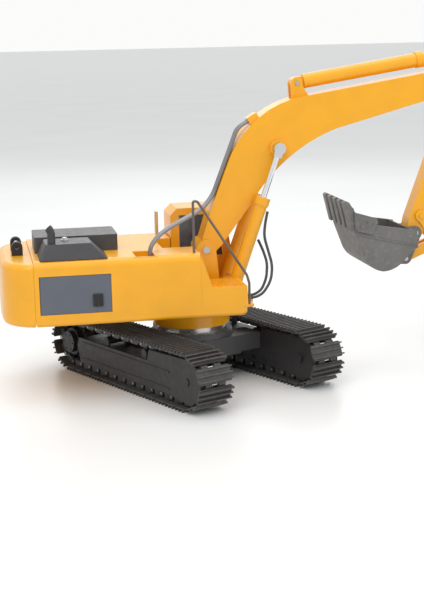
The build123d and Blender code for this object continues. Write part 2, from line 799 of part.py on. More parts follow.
# ---------------------------------------------------------------- covers on the deck
cover_front, cover_rear = -100.0, -172.0
cover_outer, cover_inner = -80.0, -32.0
cover_height = 16.6
cover_slope = 7.0
with BuildPart() as air_cleaner_cover:
    with BuildSketch(level(deck_height)):
        with Locations(((cover_front + cover_rear) / 2, (cover_outer + cover_inner) / 2)):
            RectangleRounded(cover_front - cover_rear, cover_inner - cover_outer, 3)
    with BuildSketch(level(deck_height + cover_height)):
        with Locations(((cover_front + cover_rear) / 2 - 5, (cover_outer + cover_inner) / 2)):
            RectangleRounded(cover_front - cover_rear - 24, cover_inner - cover_outer - cover_slope, 3)
    loft()
    with BuildSketch(level(deck_height)):
        with Locations(((cover_front + cover_rear) / 2, (cover_outer + cover_inner) / 2)):
            RectangleRounded(cover_front - cover_rear - 2 * wall, cover_inner - cover_outer - 2 * wall, 1)
    with BuildSketch(level(deck_height + cover_height - wall)):
        with Locations(((cover_front + cover_rear) / 2 - 5, (cover_outer + cover_inner) / 2)):
            RectangleRounded(cover_front - cover_rear - 24 - 2 * wall,
                             cover_inner - cover_outer - cover_slope - 2 * wall, 1)
    loft(mode=Mode.SUBTRACT)
finish(air_cleaner_cover.part, "air_cleaner_cover")

hood_rear, hood_front = -174.0, -84.0
hood_half_width = 30.0
hood_height = 17.6
with BuildPart() as engine_hood:
    with BuildSketch(level(deck_height)):
        with Locations(((hood_rear + hood_front) / 2, 0)):
            RectangleRounded(hood_front - hood_rear, 2 * hood_half_width, 3)
            RectangleRounded(hood_front - hood_rear - 2 * wall, 2 * hood_half_width - 2 * wall, 1,
                             mode=Mode.SUBTRACT)
    extrude(amount=hood_height)
    with BuildSketch(level(deck_height + hood_height - wall)):
        with Locations(((hood_rear + hood_front) / 2, 0)):
            RectangleRounded(hood_front - hood_rear - 1, 2 * hood_half_width - 1, 2.5)
    extrude(amount=wall)
finish(engine_hood.part, "engine_hood")

exhaust_x, exhaust_y = -158.0, -70.0
exhaust_radius = 4.2
exhaust_wall = 1.0
exhaust_rise = 9.0
exhaust_bend = 12.0
with BuildPart() as exhaust_pipe:
    with BuildLine() as exhaust_line:
        start = (exhaust_x, exhaust_y, up(deck_height + cover_height))
        knee = (exhaust_x, exhaust_y, up(deck_height + cover_height + exhaust_rise))
        lean = 42.0
        mouth = (
            exhaust_x - exhaust_bend * (1 - cos(radians(lean))),
            exhaust_y,
            up(deck_height + cover_height + exhaust_rise + exhaust_bend * sin(radians(lean))),
        )
        Line(start, knee)
        TangentArc(knee, mouth, tangent=(0, 0, 1))
    with BuildSketch(level(deck_height + cover_height)):
        with Locations((exhaust_x, exhaust_y)):
            Circle(exhaust_radius)
            Circle(exhaust_radius - exhaust_wall, mode=Mode.SUBTRACT)
    sweep(path=exhaust_line.line)
finish(exhaust_pipe.part, "exhaust_pipe")

cap_x, cap_y = -143.0, -52.0
with BuildPart() as filler_cap:
    with BuildSketch(level(deck_height + cover_height)):
        with Locations((cap_x, cap_y)):
            Circle(4.0)
    extrude(amount=1.6)
    with BuildSketch(level(deck_height + cover_height + 1.6)):
        with Locations((cap_x, cap_y)):
            Circle(2.6)
    extrude(amount=2.0)
    fillet(edges().group_by(Axis.Z)[-1], 0.8)
finish(filler_cap.part, "filler_cap")

# ---------------------------------------------------------------- right-hand step and rail
toolbox_length = house_front - side_front
slant_foot = 12.3
tread_count = 9
with BuildPart() as toolbox:
    with BuildSketch(side(-half_house)):
        with BuildLine():
            Polyline(
                (side_front + 0.1, floor_top),
                (house_front, floor_top),
                (house_front - 1, toolbox_top),
                (side_front + slant_foot, toolbox_top),
                (side_front + 0.1, deck_height - 1),
                close=True,
            )
        make_face()
    extrude(amount=-(half_house - slot_half_width))
    fillet(edges().filter_by(Axis.Z, tolerance=6).sort_by(Axis.X)[-1], 3)
    with BuildSketch(side(-half_house + wall)):
        with BuildLine():
            Polyline(
                (side_front + 0.1 + wall, floor_top),
                (house_front - wall - 2, floor_top),
                (house_front - wall - 3, toolbox_top - wall),
                (side_front + slant_foot, toolbox_top - wall),
                (side_front + 0.1 + wall, deck_height - 16),
                close=True,
            )
        make_face()
    extrude(amount=-(half_house - slot_half_width - 2 * wall), mode=Mode.SUBTRACT)
    for i in range(tread_count):
        with BuildSketch(level(toolbox_top)):
            with Locations((side_front + slant_foot + 4 + i * 3.6, -(half_house + slot_half_width) / 2)):
                Rectangle(1.4, half_house - slot_half_width - 8)
        extrude(amount=0.8)
finish(toolbox.part, "toolbox")

rail_radius = 1.4
rail_y = -half_house + deck_round + 0.6
rail_top = 210.0
rail_foot_x = -7.6
rail_end_x = house_front + 1.8 + rail_radius
with BuildPart() as handrail:
    with BuildLine() as rail_line:
        FilletPolyline(
            (rail_foot_x, rail_y, up(deck_height)),
            (rail_foot_x, rail_y, up(rail_top)),
            (rail_foot_x + 5, rail_y, up(rail_top - 1)),
            (rail_end_x - 2.5, rail_y, up(127)),
            (rail_end_x, rail_y, up(118)),
            (rail_end_x, rail_y, up(floor_top)),
            radius=(2.0, 2.5, 8.0, 8.0),
        )
    with BuildSketch(level(deck_height)):
        with Locations((rail_foot_x, rail_y)):
            Circle(rail_radius)
    sweep(path=rail_line.line)
finish(handrail.part, "handrail")

# ---------------------------------------------------------------- cab
sill = 132.0
lintel = 180.0
brow = 8.0
nose_z = 128.0
cab_mid_y = (cab_inner_side + half_house) / 2
cab_width = half_house - cab_inner_side
window_rear, window_front = cab_rear + 10.0, cab_front - 12.0


def cab_outline(inset):
    """Points of the cab's side view, shrunk by inset, from the rear foot round to the front foot."""
    return [
        (cab_rear + inset, floor_top + inset),
        (cab_rear + inset, cab_roof - brow - inset),
        (cab_rear + brow, cab_roof - inset),
        (cab_front - 16, cab_roof - inset),
        (cab_front - 9 - inset, cab_roof - 4 - inset),
        (cab_front - inset, nose_z),
        (cab_front - 3 - inset, floor_top + inset),
    ]


with BuildPart() as cab_shell:
    with BuildSketch(side(cab_inner_side)):
        with BuildLine():
            Polyline(*cab_outline(0), close=True)
        make_face()
    extrude(amount=-cab_width)
    with BuildSketch(side(cab_inner_side + cab_wall)):
        with BuildLine():
            Polyline(*cab_outline(cab_wall), close=True)
        make_face()
    extrude(amount=-(cab_width - 2 * cab_wall), mode=Mode.SUBTRACT)
    with BuildSketch(side(cab_inner_side)):
        with BuildLine():
            Polyline(
                (window_rear, sill),
                (window_rear, lintel),
                (window_front - 6, lintel),
                (window_front, sill),
                close=True,
            )
        make_face()
    extrude(amount=-cab_width, mode=Mode.SUBTRACT)
    with BuildSketch(side(cab_inner_side + 6)):
        with BuildLine():
            Polyline(
                (window_front + 4, sill),
                (cab_front - 19, lintel),
                (cab_front + 6, lintel),
                (cab_front + 6, sill),
                close=True,
            )
        make_face()
    extrude(amount=-(cab_width - 12), mode=Mode.SUBTRACT)
finish(cab_shell.part, "cab_shell")

screen_top = (cab_front - 9, cab_roof - 4)
screen_foot = (cab_front, nose_z)
screen_heading = heading_of(screen_foot, screen_top)
with BuildPart() as cab_glass:
    for near in (cab_inner_side + 0.4, half_house - 0.4 - pane):
        with BuildSketch(side(near)):
            with BuildLine():
                Polyline(
                    (window_rear, sill),
                    (window_rear, lintel),
                    (window_front - 6, lintel),
                    (window_front, sill),
                    close=True,
                )
            make_face()
        extrude(amount=-pane)
    with BuildSketch(side(cab_inner_side + 6)):
        with BuildLine():
            foot = along(screen_foot, screen_heading, (4.4, 0.4))
            head = along(foot, screen_heading, (lintel - sill - 0.6, 0))
            Polyline(
                foot,
                head,
                along(head, screen_heading, (0, pane)),
                along(foot, screen_heading, (0, pane)),
                close=True,
            )
        make_face()
    extrude(amount=-(cab_width - 12))
finish(cab_glass.part, "cab_glass")

seat_x = cab_rear + 22.0
with BuildPart() as driver_seat:
    with BuildSketch(level(floor_top + cab_wall)):
        with Locations((seat_x + 2, cab_mid_y)):
            Rectangle(16, 18)
    extrude(amount=17)
    with BuildSketch(level(floor_top + cab_wall + 17)):
        with Locations((seat_x, cab_mid_y)):
            RectangleRounded(24, 24, 3)
    extrude(amount=8)
    with BuildSketch(side(cab_mid_y)):
        with BuildLine():
            Polyline(
                (seat_x - 12, floor_top + 24),
                (seat_x - 5, floor_top + 24),
                (seat_x - 8, floor_top + 62),
                (seat_x - 14, floor_top + 62),
                close=True,
            )
        make_face()
    extrude(amount=11, both=True)
    for hand in (-1, 1):
        with BuildSketch(level(floor_top + cab_wall)):
            with Locations((seat_x + 8, cab_mid_y + hand * 14.5)):
                Rectangle(16, 5)
        extrude(amount=32)
finish(driver_seat.part, "driver_seat")

mirror_x, mirror_y = -31.5, 40.0
mirror_low, mirror_high = 159.0, 185.0
with BuildPart() as cab_mirror:
    with BuildSketch(level(mirror_low)):
        with Locations((mirror_x, mirror_y)):
            RectangleRounded(3.4, 9, 1.2)
    extrude(amount=mirror_high - mirror_low)
    with BuildSketch(level(deck_height)):
        with Locations((mirror_x, mirror_y)):
            Circle(1.3)
    extrude(amount=mirror_low + 1 - deck_height)
finish(cab_mirror.part, "cab_mirror")

# ---------------------------------------------------------------- inside the house
battery_length, battery_width, battery_height = 70.0, 34.0, 38.0
with BuildPart() as battery_pack:
    with BuildSketch(level(floor_bottom + floor_wall)):
        with Locations(((door_rear + door_joint) / 2, -half_house + 10 + battery_width / 2)):
            RectangleRounded(battery_length, battery_width, 3)
    extrude(amount=battery_height)
finish(battery_pack.part, "battery_pack")

board_length, board_width = 60.0, 44.0
board_x, board_y = -120.0, 40.0
with BuildPart() as control_board:
    for dx in (-1, 1):
        for dy in (-1, 1):
            with BuildSketch(level(floor_bottom + floor_wall)):
                with Locations((board_x + dx * (board_length / 2 - 4), board_y + dy * (board_width / 2 - 4))):
                    Circle(2.5)
            extrude(amount=6)
    with BuildSketch(level(floor_bottom + floor_wall + 6)):
        with Locations((board_x, board_y)):
            Rectangle(board_length, board_width)
    extrude(amount=1.6)
    with BuildSketch(level(floor_bottom + floor_wall + 7.6)):
        with Locations((board_x - 14, board_y + 6)):
            Rectangle(18, 18)
        with Locations((board_x + 14, board_y - 8)):
            Rectangle(22, 10)
    extrude(amount=4)
finish(control_board.part, "control_board")

motor_radius = 12.0
with BuildPart() as swing_motor:
    with BuildSketch(level(floor_top)):
        with Locations((pinion_x, pinion_y)):
            Circle(motor_radius)
    extrude(amount=30)
    with BuildSketch(level(floor_top)):
        with Locations((pinion_x, pinion_y)):
            Circle(pinion_shaft + running)
    extrude(amount=9, mode=Mode.SUBTRACT)
finish(swing_motor.part, "swing_motor")

# ---------------------------------------------------------------- boom
foot_boss = 11.0
tip_boss = 12.0
tip_slot = stick_half_width + side_gap
tip_pin_radius = 3.6
tip_slot_depth = 34.0
ram_boss_radius = 9.5
ram_side_gap = 0.4
hose_block = (116.0, 94.0)       # where the hoses end on the boom's back
hose_block_size = (12.0, 8.0, 14.0)
boom_hose_y = -6.0
boom_plane = arm_plane(boom_foot, boom_heading)


def boom_side(y):
    return arm_plane(boom_foot, boom_heading, y)


def boom_outline(inset):
    """The boom's side view in its own line from foot to tip, shrunk by inset."""
    with BuildLine() as outline:
        Polyline((70, 15 + inset), (18, -6 + inset), (-4, -foot_boss + inset))
        ThreePointArc((-4, -foot_boss + inset), (-foot_boss + inset, 2), (2, foot_boss - inset))
        Polyline((2, foot_boss - inset), (28, 34 - inset), (72, 68 - inset))
        ThreePointArc((72, 68 - inset), (122, 91 - inset), (176, 87 - inset))
        Polyline(
            (176, 87 - inset),
            (boom_length + 2, tip_boss - inset),
        )
        ThreePointArc(
            (boom_length + 2, tip_boss - inset),
            (boom_length + tip_boss - inset, 0),
            (boom_length - 4, -tip_boss + inset + 0.4),
        )
        Line((boom_length - 4, -tip_boss + inset + 0.4), (196, 34 + inset))
        ThreePointArc((196, 34 + inset), (132, 35.5 + inset), (70, 15 + inset))
    return outline.line


with BuildPart() as boom:
    with BuildSketch(boom_plane):
        add(boom_outline(0))
        make_face()
    extrude(amount=boom_half_width, both=True)
    with BuildSketch(boom_plane):
        add(boom_outline(boom_plate))
        make_face()
        with Locations((0, 0)):
            Circle(foot_boss + 3, mode=Mode.SUBTRACT)
        with Locations((boom_length, 0)):
            Circle(tip_slot_depth + 4, mode=Mode.SUBTRACT)
    extrude(amount=boom_half_width - boom_plate, both=True, mode=Mode.SUBTRACT)
    with BuildSketch(boom_plane):
        with Locations((boom_length + tip_boss - tip_slot_depth / 2, 0)):
            Rectangle(tip_slot_depth + 2 * tip_boss, 5 * tip_boss)
    extrude(amount=tip_slot, both=True, mode=Mode.SUBTRACT)
    with BuildSketch(boom_plane):
        with Locations(boom_ram_pin):
            Circle(ram_boss_radius)
    extrude(amount=boom_ram_y - ram_eye_width / 2 - ram_side_gap, both=True)
    with BuildSketch(boom_plane):
        with Locations((0, 0)):
            Circle(boom_pin_radius + running)
        with Locations((boom_length, 0)):
            Circle(tip_pin_radius)
    extrude(amount=2 * boom_half_width, both=True, mode=Mode.SUBTRACT)
    for hand in (-1, 1):
        with BuildSketch(boom_side(hand * (ram_eye_width / 2 + 0.4))):
            with BuildLine():
                Polyline(
                    (stick_ram_foot[0] - 16, stick_ram_foot[1] - 16),
                    (stick_ram_foot[0] - 6, stick_ram_foot[1] + 4),
                    (stick_ram_foot[0] + 4, stick_ram_foot[1] + 4),
                    (stick_ram_foot[0] + 4, stick_ram_foot[1] - 20),
                    close=True,
                )
            make_face()
            with Locations(stick_ram_foot):
                Circle(ram_eye_radius)
        extrude(amount=-hand * 3)
    with BuildSketch(boom_plane):
        with Locations(stick_ram_foot):
            Circle(ram_pin_radius)
    extrude(amount=boom_half_width, both=True, mode=Mode.SUBTRACT)
    with BuildSketch(boom_side(boom_hose_y)):
        with Locations((hose_block[0] + hose_block_size[0] / 2, hose_block[1])):
            Rectangle(hose_block_size[0], hose_block_size[1])
    extrude(amount=hose_block_size[2] / 2, both=True)
finish(boom.part, "boom")

with BuildPart() as boom_pins:
    with BuildSketch(boom_plane):
        with Locations((boom_length, 0)):
            Circle(tip_pin_radius)
    extrude(amount=boom_half_width + 1.6, both=True)
    with BuildSketch(boom_plane):
        with Locations(stick_ram_foot):
            Circle(ram_pin_radius)
    extrude(amount=ram_eye_width / 2 + 5, both=True)
finish(boom_pins.part, "boom_pins")

# ---------------------------------------------------------------- cylinders
gland_length = 9.0
gland_extra = 1.2


def cylinder(name_barrel, name_rod, foot, eye, ys, barrel_length, rod_length, bore, rod_radius, barrel_radius,
             eye_width, head=0.0):
    """A barrel hinged at foot and the rod that slides in it, with its eye at eye."""
    heading = heading_of(foot, eye)
    reach = distance(foot, eye)
    turn = radians(heading)
    axis = Vector(cos(turn), 0, sin(turn))
    with BuildPart() as barrel:
        for y in ys:
            base = Plane(origin=Vector(foot[0], y, up(foot[1])), x_dir=(0, 1, 0), z_dir=axis)
            with BuildSketch(arm_plane(foot, heading, y)):
                Circle(ram_eye_radius)
                with Locations((ram_eye_radius, 0)):
                    Rectangle(2 * ram_eye_radius, 2 * ram_eye_radius - 1)
            extrude(amount=eye_width / 2, both=True)
            with BuildSketch(base.offset(ram_eye_radius + 2)):
                Circle(barrel_radius)
            extrude(amount=barrel_length - ram_eye_radius - 2)
            with BuildSketch(base.offset(barrel_length - gland_length)):
                Circle(barrel_radius + gland_extra)
            extrude(amount=gland_length)
            with BuildSketch(base.offset(barrel_length)):
                Circle(bore)
            extrude(amount=-(barrel_length - 2 * ram_eye_radius), mode=Mode.SUBTRACT)
        with BuildSketch(arm_plane(foot, heading)):
            Circle(ram_pin_radius + running)
        extrude(amount=half_house, both=True, mode=Mode.SUBTRACT)
    finish(barrel.part, name_barrel)
    with BuildPart() as rod:
        for y in ys:
            base = Plane(origin=Vector(foot[0], y, up(foot[1])), x_dir=(0, 1, 0), z_dir=axis)
            with BuildSketch(base.offset(reach - rod_length)):
                Circle(rod_radius)
            extrude(amount=rod_length - ram_eye_radius + 1.5)
            with BuildSketch(arm_plane(foot, heading, y)):
                with Locations((reach, 0)):
                    Circle(ram_eye_radius)
                with Locations((reach - ram_eye_radius, 0)):
                    Rectangle(ram_eye_radius, 1.4 * ram_eye_radius)
            extrude(amount=eye_width / 2, both=True)
            if head:
                with BuildSketch(arm_plane(foot, heading, y + (head if y > 0 else -head))):
                    with Locations((reach, 0)):
                        Circle(ram_pin_radius + 1.5)
                extrude(amount=eye_width / 2 if y < 0 else -eye_width / 2)
    finish(rod.part, name_rod)


ram_rod_radius = 3.2
ram_bore = ram_rod_radius + running
boom_barrel_length = 106.0
stick_barrel_length = 150.0
bucket_barrel_length = 84.0
cylinder("boom_ram_barrels", "boom_ram_rods", boom_ram_foot, boom_ram_eye, (-boom_ram_y, boom_ram_y),
         boom_barrel_length, boom_barrel_length - 10, ram_bore, ram_rod_radius, 7.2, ram_eye_width, head=2.0)
cylinder("stick_ram_barrel", "stick_ram_rod", stick_ram_base, stick_ram_eye, (0.0,),
         stick_barrel_length, stick_barrel_length + 14, ram_bore, ram_rod_radius, 8.0, ram_eye_width)
cylinder("bucket_ram_barrel", "bucket_ram_rod", bucket_ram_base, link_pin, (0.0,),
         bucket_barrel_length + 18, bucket_barrel_length + 6, ram_bore - 0.4, ram_rod_radius - 0.4, 6.6,
         ram_eye_width)

# ---------------------------------------------------------------- stick
nose_radius = 9.5
stick_plate = 2.2
head_radius = 14.0
lug_inner = ram_eye_width / 2 + 0.4
stick_lug = 3.2
rocker_pin_radius = 2.8
bucket_pin_radius = 3.4
stick_plane = arm_plane(bucket_pin, stick_heading)


def stick_outline(inset):
    """The stick's side view in its own line from bucket pin to boom tip, shrunk by inset."""
    with BuildLine() as outline:
        ThreePointArc((0, -nose_radius + inset), (-nose_radius + inset, 0), (0, nose_radius - inset))
        Polyline(
            (0, nose_radius - inset),
            (14, 11.8 - inset),
            (150, 12.6 - inset),
            (stick_length, head_radius - inset),
        )
        ThreePointArc(
            (stick_length, head_radius - inset),
            (stick_length + 9.9 - inset, 9.9 - inset),
            (stick_length + head_radius - inset, 0),
        )
        Polyline(
            (stick_length + head_radius - inset, 0),
            (stick_length + 9 - inset, -20 + inset),
            (176, -26 + inset),
            (146, -23 + inset),
            (60, -12.5 + inset),
            (16, -10 + inset),
            (0, -nose_radius + inset),
        )
    return outline.line


with BuildPart() as stick:
    with BuildSketch(stick_plane):
        add(stick_outline(0))
        make_face()
    extrude(amount=stick_half_width, both=True)
    with BuildSketch(stick_plane):
        add(stick_outline(stick_plate))
        make_face()
        with Locations((stick_length, 0)):
            Circle(head_radius - stick_plate - 3, mode=Mode.SUBTRACT)
        with Locations((0, 0)):
            Circle(nose_radius + 3, mode=Mode.SUBTRACT)
        with Locations((rocker_along, 0)):
            Circle(rocker_pin_radius + 3, mode=Mode.SUBTRACT)
    extrude(amount=stick_half_width - stick_plate, both=True, mode=Mode.SUBTRACT)
    for hand in (-1, 1):
        with BuildSketch(arm_plane(bucket_pin, stick_heading, hand * lug_inner)):
            with BuildLine():
                Polyline(
                    (stick_length + 4, 8),
                    (stick_ram_pin[0] + 3, stick_ram_pin[1] + 6),
                    (stick_ram_pin[0], stick_ram_pin[1] - 7),
                    (stick_length + 2, -21),
                    close=True,
                )
            make_face()
            with Locations(stick_ram_pin):
                Circle(ram_eye_radius + 1.5)
            with Locations(bucket_ram_foot):
                Circle(ram_eye_radius)
            with BuildLine():
                Polyline(
                    (bucket_ram_foot[0] - 6, bucket_ram_foot[1] - 2),
                    (bucket_ram_foot[0] + 6, bucket_ram_foot[1] - 2),
                    (bucket_ram_foot[0] + 14, -24),
                    (bucket_ram_foot[0] - 7, -24),
                    close=True,
                )
            make_face()
        extrude(amount=-hand * stick_lug)
    with BuildSketch(stick_plane):
        with Locations((stick_length, 0)):
            Circle(tip_pin_radius + running)
        with Locations((0, 0)):
            Circle(bucket_pin_radius + running)
        with Locations((rocker_along, 0)):
            Circle(rocker_pin_radius + running)
        with Locations(bucket_ram_foot):
            Circle(ram_pin_radius)
    extrude(amount=stick_half_width, both=True, mode=Mode.SUBTRACT)
finish(stick.part, "stick")

with BuildPart() as stick_pins:
    with BuildSketch(stick_plane):
        with Locations(bucket_ram_foot):
            Circle(ram_pin_radius)
    extrude(amount=lug_inner + stick_lug + 0.8, both=True)
    for hand in (-1, 1):
        with BuildSketch(arm_plane(bucket_pin, stick_heading, hand * (lug_inner + stick_lug))):
            with Locations(stick_ram_pin):
                Circle(ram_pin_radius + 1)
        extrude(amount=-hand * 1.4)
finish(stick_pins.part, "stick_pins")

# ---------------------------------------------------------------- rocker and link
rocker_inner = stick_half_width + side_gap
rocker_plate = 2.6
rocker_half = 5.6
link_plate_inner = lug_inner
link_plate = 4.0
link_half = 6.0
stub_head = 1.6
rocker_heading = heading_of(rocker_pin, link_pin)
rocker_plane = arm_plane(rocker_pin, rocker_heading)
with BuildPart() as rocker:
    for hand in (-1, 1):
        with BuildSketch(arm_plane(rocker_pin, rocker_heading, hand * rocker_inner)):
            with Locations((0, 0), (rocker_length, 0)):
                Circle(rocker_half + 0.8)
            with Locations((rocker_length / 2, 0)):
                Rectangle(rocker_length, 2 * rocker_half)
        extrude(amount=-hand * rocker_plate)
        with BuildSketch(arm_plane(rocker_pin, rocker_heading, hand * link_plate_inner)):
            with Locations((rocker_length, 0)):
                Circle(ram_pin_radius)
        extrude(amount=-hand * (rocker_inner + rocker_plate + stub_head - link_plate_inner))
    with BuildSketch(rocker_plane):
        Circle(rocker_pin_radius)
    extrude(amount=rocker_inner + rocker_plate + stub_head, both=True)
finish(rocker.part, "rocker")

link_heading = heading_of(link_pin, bucket_ear_pin)
ear_inner = rocker_inner
with BuildPart() as bucket_link:
    for hand in (-1, 1):
        with BuildSketch(arm_plane(link_pin, link_heading, hand * link_plate_inner)):
            Circle(link_half + 1)
            with Locations((link_length / 2, 0)):
                Rectangle(link_length, 2 * link_half)
            with Locations((link_length, 0)):
                Circle(link_half)
        extrude(amount=-hand * link_plate)
    with BuildSketch(arm_plane(link_pin, link_heading)):
        with Locations((link_length, 0)):
            Circle(link_half)
    extrude(amount=ear_inner - side_gap, both=True)
    with BuildSketch(arm_plane(link_pin, link_heading)):
        Circle(ram_pin_radius + running)
    extrude(amount=2 * stick_half_width, both=True, mode=Mode.SUBTRACT)
finish(bucket_link.part, "bucket_link")

# ---------------------------------------------------------------- bucket
half_bucket = bucket_width / 2
cheek = 2.6
ear_plate = 3.2
lip = (-83.0, 20.0)
heel = (-24.0, -26.5)
rear_x = -12.6
rear_top = 8.9
bucket_plane = arm_plane(bucket_pin)


def bucket_outline(inset, lift=0.0):
    """The bowl's side view about the bucket pin, curled up, shrunk by inset and raised at the mouth."""
    with BuildLine() as outline:
        Polyline(
            (lip[0] + inset, lip[1] + 2 * lift),
            (-80.5 + inset, 8),
            (-71 + inset, -17 + 0.4 * inset),
        )
        ThreePointArc(
            (-71 + inset, -17 + 0.4 * inset),
            (-61.5 + 0.7 * inset, -31 + 0.7 * inset),
            (-47, -37 + inset),
        )
        ThreePointArc((-47, -37 + inset), (-35 - 0.3 * inset, -34.5 + inset), (heel[0] - 0.5 * inset, heel[1] + inset))
        Polyline(
            (heel[0] - 0.5 * inset, heel[1] + inset),
            (rear_x - inset, -15),
            (rear_x - inset, rear_top + 2 * lift),
            (lip[0] + inset, lip[1] + 2 * lift),
        )
    return outline.line


with BuildPart() as bucket:
    with BuildSketch(bucket_plane):
        add(bucket_outline(0))
        make_face()
    extrude(amount=half_bucket, both=True)
    with BuildSketch(bucket_plane):
        add(bucket_outline(bucket_wall, lift=12))
        make_face()
    extrude(amount=half_bucket - cheek, both=True, mode=Mode.SUBTRACT)
    for hand in (-1, 1):
        with BuildSketch(arm_plane(bucket_pin, 0, hand * ear_inner)):
            with BuildLine():
                Polyline(
                    (rear_x - 1, rear_top - 1),
                    (-2, 7.6),
                    (7, -3),
                    (bucket_link_pin[0] + 6, bucket_link_pin[1] - 2.5),
                    (bucket_link_pin[0] - 1, bucket_link_pin[1] - 6.4),
                    (heel[0] - 14, heel[1] - 7.5),
                    (heel[0] - 12, heel[1] - 5.5),
                    (heel[0] - 0.5, heel[1] + 0.8),
                    (rear_x - 1, -15),
                    close=True,
                )
            make_face()
            Circle(8)
            with Locations(bucket_link_pin):
                Circle(6.5)
        extrude(amount=-hand * ear_plate)
        with BuildSketch(arm_plane(bucket_pin, 0, hand * (half_bucket - cheek))):
            with BuildLine():
                Polyline(
                    (rear_x - 1, rear_top),
                    (-8, 8.2),
                    (-6.6, -11.3),
                    (rear_x - 1, -16),
                    close=True,
                )
            make_face()
        extrude(amount=-hand * cheek)
        with BuildSketch(arm_plane(bucket_pin, 0, hand * half_bucket)):
            with BuildLine():
                Polyline((-80.3, 8.4), (-7, -9.5), (-6.8, -11.2), (-79.8, 6.6), close=True)
            make_face()
        extrude(amount=-hand * 1.0)
    with BuildSketch(bucket_plane):
        Circle(bucket_pin_radius)
        with Locations(bucket_link_pin):
            Circle(ram_pin_radius)
    extrude(amount=bucket_width, both=True, mode=Mode.SUBTRACT)
finish(bucket.part, "bucket")

with BuildPart() as bucket_pins:
    with BuildSketch(bucket_plane):
        Circle(bucket_pin_radius)
    extrude(amount=ear_inner + ear_plate + stub_head, both=True)
    for hand in (-1, 1):
        with BuildSketch(arm_plane(bucket_pin, 0, hand * ear_inner)):
            with Locations(bucket_link_pin):
                Circle(ram_pin_radius)
        extrude(amount=-hand * (ear_plate + stub_head))
finish(bucket_pins.part, "bucket_pins")

tooth_pitch = (bucket_width - tooth_width) / (tooth_count - 1)
with BuildPart() as bucket_teeth:
    for i in range(tooth_count):
        y = tooth_pitch * (i - (tooth_count - 1) / 2)
        with BuildSketch(arm_plane(bucket_pin, 0, y)):
            with BuildLine():
                Polyline(
                    (lip[0] - 3, lip[1] - 8),
                    (lip[0] - 10.5, lip[1] + 22.5),
                    (lip[0] - 8, lip[1] + 24.5),
                    (lip[0] - 4.5, lip[1] + 23),
                    (lip[0] + 5.0, lip[1] + 8),
                    (lip[0] + 6.0, lip[1] - 5),
                    close=True,
                )
            make_face()
        extrude(amount=tooth_width / 2, both=True)
    add(bucket.part, mode=Mode.SUBTRACT)
finish(bucket_teeth.part, "bucket_teeth")

cutter_plate = 2.0
with BuildPart() as side_cutters:
    for hand in (-1, 1):
        with BuildSketch(arm_plane(bucket_pin, 0, hand * (half_bucket + side_gap / 4))):
            with BuildLine():
                Polyline(
                    (lip[0] + 1, lip[1] + 12),
                    (-56, 24),
                    (-54.5, 19.5),
                    (-61, 6.4),
                    (-77, 9.9),
                    (lip[0] + 2, lip[1] - 6),
                    close=True,
                )
            make_face()
        extrude(amount=-hand * cutter_plate)
        with BuildSketch(arm_plane(bucket_pin, 0, hand * (half_bucket + side_gap / 4 + cutter_plate))):
            with Locations((-74, 15), (-67, 12.5), (-66, 20), (-60, 17)):
                Circle(1.3)
        extrude(amount=-hand * 0.9)
finish(side_cutters.part, "side_cutters")

# ---------------------------------------------------------------- hoses
hose_radius = 1.7
hose_step = 4.2
boom_hose_route = [
    (-53.0, -60.0, deck_height - pit_depth),
    (-53.0, -60.0, 160.0),
    (-44.0, -56.0, 171.0),
    (-30.0, -47.0, 178.5),
    (-12.0, -35.0, 185.0),
    (6.0, -22.0, 190.5),
    (19.0, -12.0, 199.0),
]
hose_back = [(41.0, 46.6), (84.0, 80.0), (102.0, hose_block[1]), hose_block]


def bend_radii(points):
    """The largest arcs that the runs of a route leave room for, one for each corner."""
    radii = []
    for a, b, c in zip(points, points[1:], points[2:]):
        before, after = b - a, c - b
        turn = radians(before.get_angle(after))
        radii.append(0.45 * min(before.length, after.length) / (sin(turn / 2) / cos(turn / 2)))
    print("arc radii", [round(r, 1) for r in radii])
    return radii


def hose(points, radius):
    """A round hose along a route of straight runs joined by tangent arcs."""
    with BuildPart() as tube:
        with BuildLine() as path:
            FilletPolyline(*points, radius=bend_radii(points))
        with BuildSketch(Plane(origin=path.line @ 0, z_dir=path.line % 0)):
            Circle(radius)
        sweep(path=path.line)
    length = sum(edge.length for edge in path.edges())
    print("hose length", round(length, 1), "volume", round(tube.part.volume / (pi * radius**2 * length), 4))
    return tube.part.solid()


tubes = []
for step in (-1, 0, 1):
    shift = step * hose_step
    points = [Vector(x, y + shift, up(z)) for x, y, z in boom_hose_route]
    for place in hose_back:
        x, z = along(boom_foot, boom_heading, place)
        points.append(Vector(x, boom_hose_y + shift, up(z)))
    tubes.append(hose(points, hose_radius))
finish(Compound(tubes), "boom_hoses")

ram_hose_radius = 1.5
ram_hose_routes = (
    [
        (84.5, -26.0, 188.0),
        (81.0, -29.0, 176.0),
        (78.5, -33.0, 162.0),
        (81.5, -39.0, 147.0),
        (84.5, -47.0, 131.0),
        (80.5, -56.0, 115.5),
        (70.0, -64.0, 104.0),
        (60.0, -70.0, 101.0),
        (house_front, -70.0, 101.0),
    ],
    [
        (73.5, -24.5, 157.0),
        (78.5, -27.0, 145.0),
        (81.5, -34.0, 132.0),
        (78.0, -45.0, 117.0),
        (70.0, -55.0, 106.0),
        (60.0, -61.0, 102.0),
        (house_front, -61.0, 102.0),
    ],
)
tubes = [hose([Vector(x, y, up(z)) for x, y, z in route], ram_hose_radius) for route in ram_hose_routes]
finish(Compound(tubes), "ram_hoses")
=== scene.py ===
# %% [markdown]
# # A radio-controlled tracked excavator
# The imported solids come in first and stay where they are. Each cell after that adds the camera,
# the floor and lamps, or the finishes. Sizes are in millimetres above the ground, as a model
# maker would measure them, and `at` turns them into metres in the frame of the solids.

# %% Load the frame
from math import cos, sin

import bpy
from mathutils import Matrix, Vector

